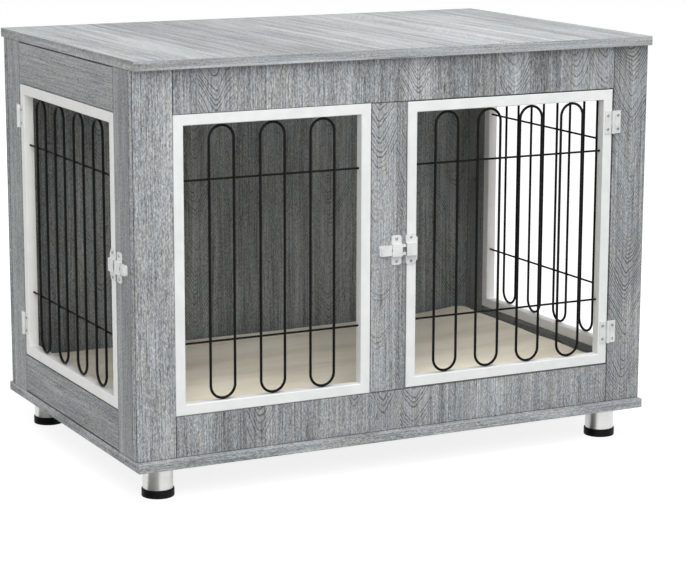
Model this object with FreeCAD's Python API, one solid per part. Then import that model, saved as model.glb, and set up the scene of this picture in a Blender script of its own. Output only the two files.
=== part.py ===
import FreeCAD, Part
import math
import os

# A furniture-style pet crate: a wood-grain cabinet with a top, base and back panel, three open
# sides of stiles and rails, white tube frames with black wire grilles, two latched doors, four
# feet and a cushion. X runs along the front, -Y faces the front, +Z is up. The origin lies on
# the floor under the middle of the top panel. All lengths are in millimetres.

# Cabinet
panel_width = 980.0
panel_depth = 634.0
board_thickness = 16.0
body_height = 640.0
side_overhang = 1.0
front_overhang = 12.0
back_overhang = 12.0
edge_ease = 0.6

# Stiles and rails
corner_stile_width = 70.0
centre_stile_width = 68.0
side_stile_width = 64.0
top_rail_height = 74.0
bottom_rail_height = 70.0
shadow_gap = 2.0

# White tube frames
window_width = 358.0
tube_size = 18.0
tube_wall = 1.2
tube_ease = 1.0
door_gap = 1.5

# Small round pieces that repeat are drawn with flat sides
wire_sides = 6
pin_sides = 12

# Wire grilles
wire_radius = 2.2
loop_width = 44.0
loop_end_gap = 1.0
loop_depth = 7.0
cross_wire_shares = (0.237, 0.78)
window_loop_count = 3
wide_loop_count = 4

# Butt hinges
hinge_height = 40.0
hinge_leaf_width = 16.0
leaf_thickness = 1.5
leaf_split = 0.35
knuckle_radius = 3.2
knuckle_gap = 0.2
hinge_end_distance = 59.0
hinge_clearance = 0.3
pin_radius = 1.6
pin_clearance = 0.05

# Slide latches
latch_drop = 4.0
bolt_height = 18.0
bolt_thickness = 4.0
bolt_length = 50.5
bolt_travel = 12.0
bolt_clearance = 0.4
bolt_face_clearance = 0.3
bolt_tip_gap = 1.0
bolt_end_radius = 4.0
fork_notch_height = 9.0
fork_notch_depth = 7.0
finger_rib_width = 3.0
finger_rib_rise = 1.6
finger_rib_inset = 3.0
strap_thickness = 1.5
strap_end_radius = 5.0
guide_width = 19.0
guide_height = 51.0
guide_distance = 11.3
stop_tab_length = 3.0
stop_tab_height = 3.0
stop_tab_inset = 4.7
catch_width = 19.7
catch_height = 53.0
catch_overlap = 2.8
catch_headroom = 0.8
clip_height = 9.0
clip_spacing = 30.0
clip_reach = 8.0
clip_clearance = 0.1

# Cam locks
cam_radius = 7.5
cam_depth = 12.0
cam_clearance = 0.1
cam_edge_distance = 29.4
cam_end_distance = 46.0

# Feet
foot_height = 56.0
foot_inset = 55.0
sleeve_radius = 25.5
sleeve_wall = 1.5
sleeve_cap = 3.0
pad_height = 14.0
pad_radius = 27.5
pad_ease = 3.0
pad_floor = 5.0
pad_clearance = 0.1

# Cushion
cushion_wall_gap = 8.0
cushion_height = 57.0
cushion_seat_gap = 0.3
cushion_side_draw = 8.0
cushion_corner_radius = 50.0
cushion_swell = 11.0
cushion_level_shares = (0.0, 0.25, 0.6, 0.85, 1.0)
cushion_inset_shares = (0.8, 0.0, 0.2, 1.6, 9.0)

# One overrun serves every cut
cut_over = 2.0

# Places worked out from the sizes above
body_left = -(panel_width / 2 - side_overhang)
body_right = -body_left
body_front = -(panel_depth / 2 - front_overhang)
body_back = panel_depth / 2 - back_overhang
inner_left = body_left + board_thickness
inner_right = body_right - board_thickness
inner_front = body_front + board_thickness
inner_back = body_back - board_thickness
base_bottom = foot_height
base_top = base_bottom + board_thickness
body_top = base_top + body_height
crate_top = body_top + board_thickness
opening_bottom = base_top + bottom_rail_height
opening_top = body_top - top_rail_height
opening_height = opening_top - opening_bottom
window_left = body_left + corner_stile_width
centre_left = window_left + window_width
centre_right = centre_left + centre_stile_width
door_right = body_right - corner_stile_width
side_front = inner_front + side_stile_width
side_back = inner_back - side_stile_width
side_opening_width = side_back - side_front
door_width = door_right - centre_right - 2 * door_gap
door_height = opening_height - 2 * door_gap
side_door_width = side_opening_width - 2 * door_gap
latch_level = (opening_bottom + opening_top) / 2 - latch_drop

X = FreeCAD.Vector(1, 0, 0)
Y = FreeCAD.Vector(0, 1, 0)
Z = FreeCAD.Vector(0, 0, 1)
origin = FreeCAD.Vector(0, 0, 0)
parts = {}


def point(x, y, z):
    return FreeCAD.Vector(x, y, z)


def box(x0, x1, y0, y1, z0, z1):
    return Part.makeBox(x1 - x0, y1 - y0, z1 - z0, point(x0, y0, z0))


def board(x0, x1, y0, y1, z0, z1):
    """A board with a light chamfer along every edge."""
    blank = box(x0, x1, y0, y1, z0, z1)
    return blank.makeChamfer(edge_ease, blank.Edges)


def polygon_face(corners):
    return Part.Face(Part.makePolygon(corners + corners[:1]))


def round_face(centre, across, up, radius, sides):
    """A regular polygon about a centre, its first corner lying across."""
    angles = [2 * math.pi * index / sides for index in range(sides)]
    spokes = [across * math.cos(angle) + up * math.sin(angle) for angle in angles]
    return polygon_face([centre + spoke * radius for spoke in spokes])


def rod(start, direction, across, radius, length):
    return round_face(start, across, direction.cross(across), radius, pin_sides).extrude(direction * length)


def turned(profile, start):
    """Revolve (radius, height) pairs about an upright axis through a point."""
    corners = [start + point(radius, 0, height) for radius, height in profile]
    return polygon_face(corners).revolve(start, Z, 360)


def edges_along(shape, direction):
    return [edge for edge in shape.Edges if edge.tangentAt(edge.FirstParameter).cross(direction).Length < 0.1]


# Cabinet boards
def make_cabinet():
    half_width = panel_width / 2
    half_depth = panel_depth / 2
    parts["base_panel"] = board(-half_width, half_width, -half_depth, half_depth, base_bottom, base_top)
    parts["top_panel"] = board(-half_width, half_width, -half_depth, half_depth, body_top, crate_top)
    parts["back_panel"] = board(body_left, body_right, inner_back, body_back, base_top, body_top)
    front_boards = {
        "left_stile": (body_left, window_left, base_top, body_top),
        "centre_stile": (centre_left, centre_right, opening_bottom, opening_top),
        "right_stile": (door_right, body_right, base_top, body_top),
        "top_rail": (window_left, door_right, opening_top, body_top),
        "bottom_rail": (window_left, door_right, base_top, opening_bottom),
    }
    for name, (left, right, low, high) in front_boards.items():
        parts["front_" + name] = board(left, right, body_front, inner_front, low, high)
    side_boards = {
        "front_stile": (inner_front, side_front, base_top, body_top),
        "rear_stile": (side_back, inner_back, base_top, body_top),
        "top_rail": (side_front, side_back, opening_top, body_top - shadow_gap),
        "bottom_rail": (side_front, side_back, base_top + shadow_gap, opening_bottom),
    }
    for side, left, right in (("left", body_left, inner_left), ("right", inner_right, body_right)):
        for name, (near, far, low, high) in side_boards.items():
            parts[side + "_" + name] = board(left, right, near, far, low, high)


# White tube frames, each four mitred lengths of square tube
def square_bar(length, inset):
    return box(0, length, inset, tube_size - inset, inset, tube_size - inset)


def mitred_tube(length):
    """A hollow tube along X from zero, its outer side down, cut back by 45 degrees at both ends."""
    blank = square_bar(length, 0)
    blank = blank.makeChamfer(tube_ease, edges_along(blank, X))
    trapezium = [
        point(0, 0, 0),
        point(length, 0, 0),
        point(length - tube_size, 0, tube_size),
        point(tube_size, 0, tube_size),
    ]
    mitre = polygon_face(trapezium).extrude(Y * tube_size)
    return blank.cut(square_bar(length, tube_wall)).common(mitre)


def tube_frame(width, height):
    """Four tubes round a frame that stands on Z zero, centred on X, with its face at Y zero."""
    tubes = []
    for turn in range(4):
        length, rise = (width, height) if turn % 2 == 0 else (height, width)
        tube = mitred_tube(length)
        tube.translate(point(-length / 2, 0, -rise / 2))
        tube.rotate(origin, Y, 90 * turn)
        tube.translate(point(0, 0, height / 2))
        tubes.append(tube)
    return Part.makeCompound(tubes)


# Wire grilles
def wire_section(centre, across):
    """The wire's section, with flat sides to the front and back."""
    return round_face(centre, across, Y, wire_radius, wire_sides)


def wire_loop(middle, low, high):
    """One closed stadium of wire: two straight legs, and a half turn at each end."""
    half = loop_width / 2
    low_centre = point(middle, loop_depth, low + half)
    high_centre = point(middle, loop_depth, high - half)
    rise = high_centre - low_centre
    legs = [wire_section(low_centre + X * side, X).extrude(rise) for side in (-half, half)]
    bends = [
        wire_section(low_centre + X * half, X).revolve(low_centre, Y, 180),
        wire_section(high_centre + X * half, X).revolve(high_centre, -Y, 180),
    ]
    return legs[0].multiFuse(legs[1:] + bends).removeSplitter()


def wire_grille(width, height, loop_count):
    """Evenly spaced loops, welded flat to flat on two cross wires that butt against the side tubes."""
    clear = width - 2 * tube_size
    pitch = loop_width + (clear - loop_count * loop_width) / (loop_count + 1)
    end_gap = tube_size + loop_end_gap + wire_radius
    wires = []
    for index in range(loop_count):
        middle = (index - (loop_count - 1) / 2) * pitch
        wires.append(wire_loop(middle, end_gap, height - end_gap))
    cross_wire_depth = loop_depth + 2 * wire_radius * math.cos(math.pi / wire_sides)
    for share in cross_wire_shares:
        start = point(-clear / 2, cross_wire_depth, height * share)
        wires.append(wire_section(start, Z).extrude(X * clear))
    return wires[0].multiFuse(wires[1:])


def make_frames():
    """Each tube frame and its grille, turned to face out of its side of the cabinet."""
    window_middle = (window_left + centre_left) / 2
    door_middle = (centre_right + door_right) / 2
    side_middle = (side_front + side_back) / 2
    door_bottom = opening_bottom + door_gap
    window_foot = point(window_middle, body_front, opening_bottom)
    door_foot = point(door_middle, body_front, door_bottom)
    side_door_foot = point(body_left, side_middle, door_bottom)
    side_window_foot = point(body_right, side_middle, opening_bottom)
    frames = (
        ("front_window", window_width, opening_height, window_loop_count, window_foot, 0),
        ("front_door", door_width, door_height, wide_loop_count, door_foot, 0),
        ("side_door", side_door_width, door_height, wide_loop_count, side_door_foot, -90),
        ("side_window", side_opening_width, opening_height, wide_loop_count, side_window_foot, 90),
    )
    for name, width, height, loop_count, foot, turn in frames:
        pieces = {"frame": tube_frame(width, height), "grille": wire_grille(width, height, loop_count)}
        for piece, shape in pieces.items():
            shape.Placement = FreeCAD.Placement(foot, FreeCAD.Rotation(Z, turn))
            parts[name + "_" + piece] = shape


# Hardware is drawn once for the front door: -Y points out of the face, the door lies towards -X
# of a hinge and towards +X of a latch. A half turn about the XY diagonal carries it to the left side.
no_turn = FreeCAD.Rotation()
side_turn = FreeCAD.Rotation(point(1, 1, 0), 180)
hinge_axis_rise = knuckle_radius + hinge_clearance
hinge_levels = {"lower": opening_bottom + hinge_end_distance, "upper": opening_top - hinge_end_distance}


def placed(shape, spot, turn):
    shape.Placement = FreeCAD.Placement(spot, turn).multiply(shape.Placement)
    return shape


def hinge_rod(radius, low, high):
    return rod(point(0, -hinge_axis_rise, low), Z, X, radius, high - low)


def hinge_leaf(direction, knuckles, notches):
    """A flat leaf to one side of the pin, with bored knuckles, and notches round the other leaf's."""
    near, far = sorted((direction * leaf_split, direction * hinge_leaf_width))
    leaf = box(near, far, -leaf_thickness, 0, -hinge_height / 2, hinge_height / 2)
    reach = knuckle_radius + hinge_clearance
    for low, high in notches:
        leaf = leaf.cut(box(-reach, reach, -leaf_thickness, 0, low, high))
    leaf = leaf.multiFuse([hinge_rod(knuckle_radius, low, high) for low, high in knuckles])
    bore = (pin_radius + pin_clearance) / math.cos(math.pi / pin_sides)
    return leaf.cut(hinge_rod(bore, -hinge_height / 2, hinge_height / 2)).removeSplitter()


def make_hinges():
    """Two hinges to a door, each with a leaf on the cabinet, a leaf on the door and a pin."""
    end = hinge_height / 2
    middle = hinge_height / 6
    outer_knuckles = [(-end, -middle - knuckle_gap), (middle + knuckle_gap, end)]
    outer_notches = [(-end, -middle), (middle, end)]
    inner_knuckle = [(-middle, middle)]
    inner_notch = [(-middle - knuckle_gap, middle + knuckle_gap)]
    hinge_lines = (
        ("front", door_right - door_gap / 2, body_front, no_turn),
        ("side", body_left, side_back - door_gap / 2, side_turn),
    )
    for line, x, y, turn in hinge_lines:
        for place, level in hinge_levels.items():
            spot = point(x, y, level)
            name = line + "_" + place + "_hinge_"
            parts[name + "post_leaf"] = placed(hinge_leaf(1, outer_knuckles, inner_notch), spot, turn)
            parts[name + "door_leaf"] = placed(hinge_leaf(-1, inner_knuckle, outer_notches), spot, turn)
            parts[name + "pin"] = placed(hinge_rod(pin_radius, -end, end), spot, turn)


# Latches
guide_right = -guide_distance
guide_left = guide_right - guide_width
catch_left = -catch_overlap
catch_right = catch_left + catch_width
bolt_tip = catch_left - bolt_tip_gap
bolt_end = bolt_tip - bolt_length
bolt_back = -bolt_face_clearance
bolt_face = bolt_back - bolt_thickness
stop_tab_right = guide_right - stop_tab_inset
stop_tab_left = stop_tab_right - stop_tab_length


def bridge(left, right, height, room):
    """A pressed strap: flat ears on the face, and a raised middle that a bolt runs under."""
    tunnel = bolt_height / 2 + bolt_clearance
    shoulder = tunnel + strap_thickness
    crown = -room - strap_thickness
    end = height / 2
    outside = [(-strap_thickness, end), (-strap_thickness, shoulder), (crown, shoulder)]
    inside = [(-room, tunnel), (0, tunnel), (0, end)]
    half = outside + [(y, -z) for y, z in reversed(outside)]
    section = half + [(y, -z) for y, z in reversed(inside)] + inside
    strap = polygon_face([point(left, y, z) for y, z in section]).extrude(X * (right - left))
    ear_middle = (shoulder + end) / 2
    ear_corners = [edge for edge in edges_along(strap, Y) if abs(edge.CenterOfMass.z) > ear_middle]
    return strap.makeFillet(strap_end_radius, ear_corners)


def latch_bolt():
    """A flat sliding tongue with a rounded finger end and rib, a forked tip and a slot for the stop tab."""
    half = bolt_height / 2
    tongue = box(bolt_end, bolt_tip, bolt_face, bolt_back, -half, half)
    finger_edges = [edge for edge in edges_along(tongue, Y) if edge.CenterOfMass.x < guide_left]
    tongue = tongue.makeFillet(bolt_end_radius, finger_edges)
    rib_left = bolt_end + finger_rib_inset
    rib_right = rib_left + finger_rib_width
    rib_half = half - bolt_end_radius
    rib = box(rib_left, rib_right, bolt_face - finger_rib_rise, bolt_face, -rib_half, rib_half)
    notch_half = fork_notch_height / 2
    notch = box(bolt_tip - fork_notch_depth, bolt_tip, bolt_face, bolt_back, -notch_half, notch_half)
    slot_left = stop_tab_left - bolt_travel - bolt_clearance
    slot_right = stop_tab_right + bolt_clearance
    slot_half = stop_tab_height / 2 + bolt_clearance
    slot = box(slot_left, slot_right, bolt_face, bolt_back, -slot_half, slot_half)
    return tongue.fuse(rib).cut([notch, slot]).removeSplitter()


def latch_guide():
    """The strap that the bolt runs under, with a tab pressed down into the bolt's slot."""
    room = bolt_face_clearance + bolt_thickness + bolt_clearance
    half = stop_tab_height / 2
    tab = box(stop_tab_left, stop_tab_right, -room, bolt_back, -half, half)
    return bridge(guide_left, guide_right, guide_height, room).fuse(tab).removeSplitter()


def latch_catch():
    """The keeper on the door: a strap over a socket, and two clips that reach round the tube."""
    strap = bridge(catch_left, catch_right, catch_height, bolt_thickness + catch_headroom)
    leg_near = tube_size + clip_clearance
    leg_far = leg_near + strap_thickness
    clips = []
    for middle in (-clip_spacing / 2, clip_spacing / 2):
        low = middle - clip_height / 2
        outline = [
            point(catch_right, 0, low),
            point(catch_right, -strap_thickness, low),
            point(leg_far, -strap_thickness, low),
            point(leg_far, clip_reach, low),
            point(leg_near, clip_reach, low),
            point(leg_near, 0, low),
        ]
        clips.append(polygon_face(outline).extrude(Z * clip_height))
    return strap.multiFuse(clips).removeSplitter()


def make_latches():
    latch_spots = (
        ("front", point(centre_right + door_gap, body_front, latch_level), no_turn),
        ("side", point(body_left, side_front + door_gap, latch_level), side_turn),
    )
    for name, spot, turn in latch_spots:
        for kind, make in (("guide", latch_guide), ("bolt", latch_bolt), ("catch", latch_catch)):
            parts[name + "_latch_" + kind] = placed(make(), spot, turn)


# Cam locks in the side stiles, which draw the front stiles and the back panel in
def make_cam_locks():
    cams = []
    levels = (base_top + cam_end_distance, (base_top + body_top) / 2, body_top - cam_end_distance)
    lines = {"front": inner_front + cam_edge_distance, "rear": inner_back - cam_edge_distance}
    for side, inner, outward in (("left", inner_left, -X), ("right", inner_right, X)):
        for end, y in lines.items():
            name = side + "_" + end + "_stile"
            for level in levels:
                face = point(inner, y, level)
                cams.append(rod(face, outward, Z, cam_radius, cam_depth))
                pocket = rod(face, outward, Z, cam_radius + cam_clearance, cam_depth)
                parts[name] = parts[name].cut(pocket)
    parts["cam_nuts"] = Part.makeCompound(cams)


# Feet
def make_feet():
    """Capped steel sleeves under the base, and the rubber ferrules that they stand in."""
    ring = sleeve_radius - sleeve_wall
    cap_bottom = base_bottom - sleeve_cap
    sleeve_profile = [
        (ring, pad_floor),
        (sleeve_radius, pad_floor),
        (sleeve_radius, base_bottom),
        (0, base_bottom),
        (0, cap_bottom),
        (ring, cap_bottom),
    ]
    socket = sleeve_radius + pad_clearance
    pad_profile = [
        (0, 0),
        (pad_radius - pad_ease, 0),
        (pad_radius, pad_ease),
        (pad_radius, pad_height),
        (socket, pad_height),
        (socket, pad_floor),
        (0, pad_floor),
    ]
    across = panel_width / 2 - foot_inset
    along = panel_depth / 2 - foot_inset
    spots = [point(x, y, 0) for y in (-along, along) for x in (-across, across)]
    parts["foot_sleeves"] = Part.makeCompound([turned(sleeve_profile, spot) for spot in spots])
    parts["foot_pads"] = Part.makeCompound([turned(pad_profile, spot) for spot in spots])


# Cushion
def cushion_outline(half_length, half_width, level):
    """A closed plan outline: round corners joined by long arcs that are drawn in towards the middle."""
    radius = cushion_corner_radius
    diagonal = radius * math.sqrt(0.5)
    edges = []
    for turn in range(4):
        reach, span = (half_length, half_width) if turn % 2 == 0 else (half_width, half_length)
        side_start = point(reach, radius - span, level)
        side_middle = point(reach - cushion_side_draw, 0, level)
        side_end = point(reach, span - radius, level)
        corner_middle = point(reach - radius + diagonal, span - radius + diagonal, level)
        corner_end = point(reach - radius, span, level)
        side = Part.Arc(side_start, side_middle, side_end)
        corner = Part.Arc(side_end, corner_middle, corner_end)
        for arc in (side, corner):
            edge = arc.toShape()
            edge.rotate(origin, Z, 90 * turn)
            edges.append(edge)
    return Part.Wire(Part.__sortEdges__(edges))


def make_cushion():
    """A crowned pad that fills the floor: outlines drawn in at the foot, full at the side, closing on top."""
    half_length = inner_right - cushion_wall_gap
    half_width = inner_back - cushion_wall_gap
    outlines = []
    for level_share, inset_share in zip(cushion_level_shares, cushion_inset_shares):
        inset = cushion_swell * inset_share
        level = base_top + cushion_seat_gap + cushion_height * level_share
        outlines.append(cushion_outline(half_length - inset, half_width - inset, level))
    parts["cushion"] = Part.makeLoft(outlines, True, True)


def main():
    make_cabinet()
    make_frames()
    make_hinges()
    make_latches()
    make_cam_locks()
    make_feet()
    make_cushion()
    os.makedirs("parts", exist_ok=True)
    for name, shape in sorted(parts.items()):
        shape.exportStep(os.path.join("parts", name + ".step"))
        print(name, len(shape.Solids), "solids", round(shape.Volume / 1000, 2), "cm3", shape.isValid())
    print(len(parts), "nodes")


main()
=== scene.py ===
# %% [markdown]
# # A cabinet pet crate
# The real object is a low grey cabinet for a dog: boards with a printed wood grain, white steel
# frames with black wire grilles, two hinged doors, slide latches, four steel feet and a soft floor
# cushion. Its measured solids are imported and never moved. The lesson adds what a solid leaves
# out: finishes, round wire, screws, cam locks, turned feet and cloth.

# %% Load the measured solids
import math

import bmesh
import bpy
import numpy as np
from mathutils import Euler, Matrix, Vector, noise as cloud


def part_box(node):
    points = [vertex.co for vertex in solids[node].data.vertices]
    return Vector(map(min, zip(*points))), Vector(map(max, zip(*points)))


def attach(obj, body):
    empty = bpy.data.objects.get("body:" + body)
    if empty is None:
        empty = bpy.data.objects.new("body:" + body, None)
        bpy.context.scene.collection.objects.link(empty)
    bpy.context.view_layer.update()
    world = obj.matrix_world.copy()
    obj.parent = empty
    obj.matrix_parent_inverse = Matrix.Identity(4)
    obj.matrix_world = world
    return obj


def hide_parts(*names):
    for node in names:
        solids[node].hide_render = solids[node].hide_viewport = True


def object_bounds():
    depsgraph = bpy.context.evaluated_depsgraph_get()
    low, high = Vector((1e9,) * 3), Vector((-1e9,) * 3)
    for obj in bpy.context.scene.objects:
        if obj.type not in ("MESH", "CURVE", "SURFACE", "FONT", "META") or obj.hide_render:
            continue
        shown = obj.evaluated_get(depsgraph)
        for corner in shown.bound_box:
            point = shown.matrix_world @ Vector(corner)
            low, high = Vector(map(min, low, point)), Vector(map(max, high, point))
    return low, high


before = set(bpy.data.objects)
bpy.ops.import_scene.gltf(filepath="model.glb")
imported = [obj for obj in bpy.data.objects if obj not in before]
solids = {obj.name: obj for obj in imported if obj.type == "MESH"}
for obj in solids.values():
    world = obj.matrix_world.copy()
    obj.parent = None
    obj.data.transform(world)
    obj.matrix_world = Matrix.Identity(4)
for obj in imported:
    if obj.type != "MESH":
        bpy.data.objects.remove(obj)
solid_low, solid_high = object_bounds()
scene = bpy.context.scene
mm = 0.001


def new_object(name, data):
    """A new object in the scene."""
    item = bpy.data.objects.new(name, data)
    scene.collection.objects.link(item)
    return item


print("solids:", len(solids), "box:", tuple(round(side, 3) for side in solid_high - solid_low))

# %% [markdown]
# ## The camera
# The crate was photographed with a long lens from the front left, a little above its top. The
# place and the turn were found by matching the corners of the boards and frames, so they are plain
# numbers here. The lens comes from a focal length in pixels and the width of the picture.

# %% Set the camera where the picture was taken
picture_width = 687
sensor_width = 36.0
focal_pixels = 2324.692
camera_place = Vector((-1.855384, -3.704445, 1.11964))
camera_yaw, camera_pitch, camera_roll = (math.radians(turn) for turn in (27.148, 11.664, 0.195))

camera_lens = bpy.data.cameras.new("crate_camera")
camera_lens.sensor_width = sensor_width
camera_lens.lens = focal_pixels * sensor_width / picture_width
camera = new_object("crate_camera", camera_lens)
aim = Euler((math.pi / 2 - camera_pitch, 0, -camera_yaw)).to_matrix()
aim = aim @ Matrix.Rotation(camera_roll, 3, "Z")
camera.matrix_world = Matrix.Translation(camera_place) @ aim.to_4x4()
scene.camera = camera
print("lens:", round(camera_lens.lens, 2), "mm")

# %% [markdown]
# ## A bench for wiring nodes
# Materials and geometry recipes are both trees of nodes. Each could be wired by hand in the node
# editor. In a script, a small helper that adds a node, sets it and hands back its output keeps
# every recipe short enough to read.

# %% The bench
class Bench:
    """Adds nodes to one tree, from left to right, and joins them."""

    def __init__(self, tree):
        self.tree = tree

    def fill(self, node, feeds):
        """Joins or sets the inputs of a node, by name or number."""
        for key, value in feeds.items():
            if isinstance(value, bpy.types.NodeSocket):
                self.tree.links.new(value, node.inputs[key])
            else:
                node.inputs[key].default_value = value

    def add(self, kind, feeds=None, **settings):
        """A new node, set and fed."""
        node = self.tree.nodes.new(kind)
        node.location.x = 180 * len(self.tree.nodes)
        for name, value in settings.items():
            setattr(node, name, value)
        self.fill(node, feeds or {})
        return node

    def make(self, kind, feeds=None, **settings):
        """The first output of a new node."""
        return self.add(kind, feeds, **settings).outputs[0]

    def sum(self, operation, *values):
        return self.make("ShaderNodeMath", dict(enumerate(values)), operation=operation)

    def vector(self, operation, *values):
        return self.make("ShaderNodeVectorMath", dict(enumerate(values)), operation=operation)

    def point(self, x=0.0, y=0.0, z=0.0):
        return self.make("ShaderNodeCombineXYZ", {"X": x, "Y": y, "Z": z})

    def axes(self, place):
        """The X, Y and Z of a place."""
        return self.add("ShaderNodeSeparateXYZ", {0: place}).outputs

    def object_place(self):
        return self.add("ShaderNodeTexCoord").outputs["Object"]

    def join(self, *pieces):
        """One geometry of several pieces."""
        node = self.add("GeometryNodeJoinGeometry")
        for piece in pieces:
            self.fill(node, {0: piece})
        return node.outputs[0]

    def times(self, one, other):
        return self.sum("MULTIPLY", one, other)

    def weigh(self, tone, *shares):
        """Adds patterns to a tone, each by its share."""
        for pattern, share in shares:
            tone = self.sum("MULTIPLY_ADD", pattern, share, tone)
        return tone

    def centred(self, pattern):
        """A pattern from 0 to 1, moved to lie about zero."""
        return self.sum("SUBTRACT", pattern, 0.5)

    def ease(self, value, start, end, low=0.0, high=1.0):
        """A smooth step from low to high while the value goes from start to end."""
        feeds = {"Value": value, "From Min": start, "From Max": end, "To Min": low, "To Max": high}
        return self.make("ShaderNodeMapRange", feeds, interpolation_type="SMOOTHSTEP")

    def luck(self, *key):
        """A chance value and colour that stay the same for the same key."""
        feeds = {"Vector": self.point(*key)}
        return self.add("ShaderNodeTexWhiteNoise", feeds, noise_dimensions="3D").outputs

    def noise(self, place, stretch, detail=2.0, roughness=0.5):
        """Cloudy noise, with stretch as the number of clouds to a unit along each axis."""
        stretched = self.vector("MULTIPLY", place, stretch)
        feeds = {"Vector": stretched, "Scale": 1.0, "Detail": detail, "Roughness": roughness}
        return self.make("ShaderNodeTexNoise", feeds)

    def colours(self, value, stops):
        """A ramp of colours, each with its place from 0 to 1."""
        ramp = self.add("ShaderNodeValToRGB", {"Fac": value})
        marks = ramp.color_ramp.elements
        while len(marks) < len(stops):
            marks.new(0.5)
        for mark, (place, colour) in zip(marks, stops):
            mark.position = place
            mark.color = (*colour, 1.0)
        return ramp.outputs[0]


print("bench ready")

# %% Start a material
def empty_bench(owner):
    """A bench on the emptied node tree of a material or a world."""
    owner.use_nodes = True
    owner.node_tree.nodes.clear()
    return Bench(owner.node_tree)


def new_material(name):
    """A new material, the bench to finish it on and its main shader."""
    material = bpy.data.materials.new(name)
    bench = empty_bench(material)
    shader = bench.add("ShaderNodeBsdfPrincipled")
    bench.add("ShaderNodeOutputMaterial", {"Surface": shader.outputs[0]})
    return material, bench, shader


def bump(bench, shader, height, depth):
    """Raises a surface by a height pattern, with its depth in metres."""
    feeds = {"Height": height, "Distance": depth, "Strength": 1.0}
    bench.fill(shader, {"Normal": bench.make("ShaderNodeBump", feeds)})


print("materials ready")

# %% [markdown]
# ## Floor and light
# The crate stands in a white studio. A lamp could be turned up until the floor burns out, but that
# would bleach the crate too. So the floor and the world show white to the camera and to
# reflections through the Light Path node, and the light that falls on the crate stays at a level
# where a colour looks as it is written. The floor keeps a soft shadow.

# %% Lay the floor
def seen_directly(bench):
    """One for rays from the camera, from gloss and through glass, and zero for other light."""
    path = bench.add("ShaderNodeLightPath").outputs
    seen = bench.sum("MAXIMUM", path["Is Camera Ray"], path["Is Glossy Ray"])
    return bench.sum("MAXIMUM", seen, path["Is Transmission Ray"])


floor_reach = 30.0
floor_glow = 0.84
matt_grey, shade_grey = 0.55, 0.32
floor_mesh = bpy.data.meshes.new("studio_floor")
signs = ((-1, -1), (1, -1), (1, 1), (-1, 1))
floor_mesh.from_pydata([(x * floor_reach, y * floor_reach, 0) for x, y in signs], [], [(0, 1, 2, 3)])
floor = new_object("studio_floor", floor_mesh)

floor_paint = bpy.data.materials.new("studio_floor_paint")
bench = empty_bench(floor_paint)
matt, shade = (bench.make("ShaderNodeBsdfDiffuse", {"Color": (grey, grey, grey, 1.0)})
               for grey in (matt_grey, shade_grey))
glow = bench.make("ShaderNodeEmission", {"Strength": floor_glow})
lit = bench.make("ShaderNodeAddShader", {0: shade, 1: glow})
mixed = bench.make("ShaderNodeMixShader", {0: seen_directly(bench), 1: matt, 2: lit})
bench.add("ShaderNodeOutputMaterial", {"Surface": mixed})
floor_mesh.materials.append(floor_paint)
print("floor:", 2 * floor_reach, "m square")

# %% Hang the light
world_light = 0.44
studio = bpy.data.worlds.new("studio_world")
bench = empty_bench(studio)
ambient, backdrop = (bench.make("ShaderNodeBackground", {"Color": (1, 1, 1, 1), "Strength": strength})
                     for strength in (world_light, 1.0))
sky = bench.make("ShaderNodeMixShader", {0: seen_directly(bench), 1: ambient, 2: backdrop})
bench.add("ShaderNodeOutputWorld", {"Surface": sky})
scene.world = studio

crate_middle = (solid_low + solid_high) / 2
lamp_width = 2.2
lamps = (
    ("overhead_lamp", Vector((0.1, -1.9, 4.6)), 154.0),
    ("front_lamp", Vector((-1.8, -3.9, 3.2)), 98.0),
    ("rear_lamp", Vector((0.3, 4.6, 1.7)), 55.0),
)
for name, place, power in lamps:
    lamp = bpy.data.lights.new(name, "AREA")
    lamp.shape = "SQUARE"
    lamp.size = lamp_width
    lamp.energy = power
    holder = new_object(name, lamp)
    holder.location = place
    holder.rotation_euler = (crate_middle - place).to_track_quat("-Z", "Y").to_euler()
    holder.visible_glossy = name != "rear_lamp"
scene.view_settings.view_transform = "Standard"
print("lamps:", len(lamps))

# %% [markdown]
# ## The grey wood grain
# The boards are chipboard under a printed, lightly embossed paper of grey oak. A picture of oak
# could be wrapped round each board, but it would repeat and blur close up. Here the grain is worked
# out from a point's place in its board, as the tree makes it: growth rings cut by a flat saw, which
# show as nested arches, with fine fibres, open pores and pale flecks running along the board.

# %% The inputs and outputs of the grain
grain = bpy.data.node_groups.new("grey_oak_grain", "ShaderNodeTree")
grain.interface.new_socket("Place", in_out="INPUT", socket_type="NodeSocketVector")
for label in ("Board", "Plank width", "Arches", "Arches at least", "Flecks", "Streaks",
              "Edge distance", "Painted joint shade", "Shade"):
    grain.interface.new_socket(label, in_out="INPUT", socket_type="NodeSocketFloat")
for label in ("Tone", "Warmth", "Relief"):
    grain.interface.new_socket(label, in_out="OUTPUT", socket_type="NodeSocketFloat")

board_steps = (0.0, 77.0, 313.0)
through_share = 0.6
bench = Bench(grain)
given = bench.add("NodeGroupInput").outputs
board_shift = bench.point(0.0, given["Board"], given["Board"])
spot = bench.vector("MULTIPLY_ADD", board_shift, board_steps, given["Place"])
spot_axes = bench.axes(given["Place"])
across = bench.weigh(spot_axes["X"], (spot_axes["Y"], through_share))
along = spot_axes["Z"]
print("grain places:", len(grain.nodes), "nodes")

# %% Planks and the arches of their growth rings
# A noise is stretched by its clouds to a millimetre across, through and along the grain.
heart_depths = (3.0, 10.0)
tapers = (0.40, 0.62)
wander_reach, sway_reach, ragged_reach = 34.0, 18.0, 3.0
ring_spacing = 4.8
ring_edge, ring_end = 0.05, 0.5

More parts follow.
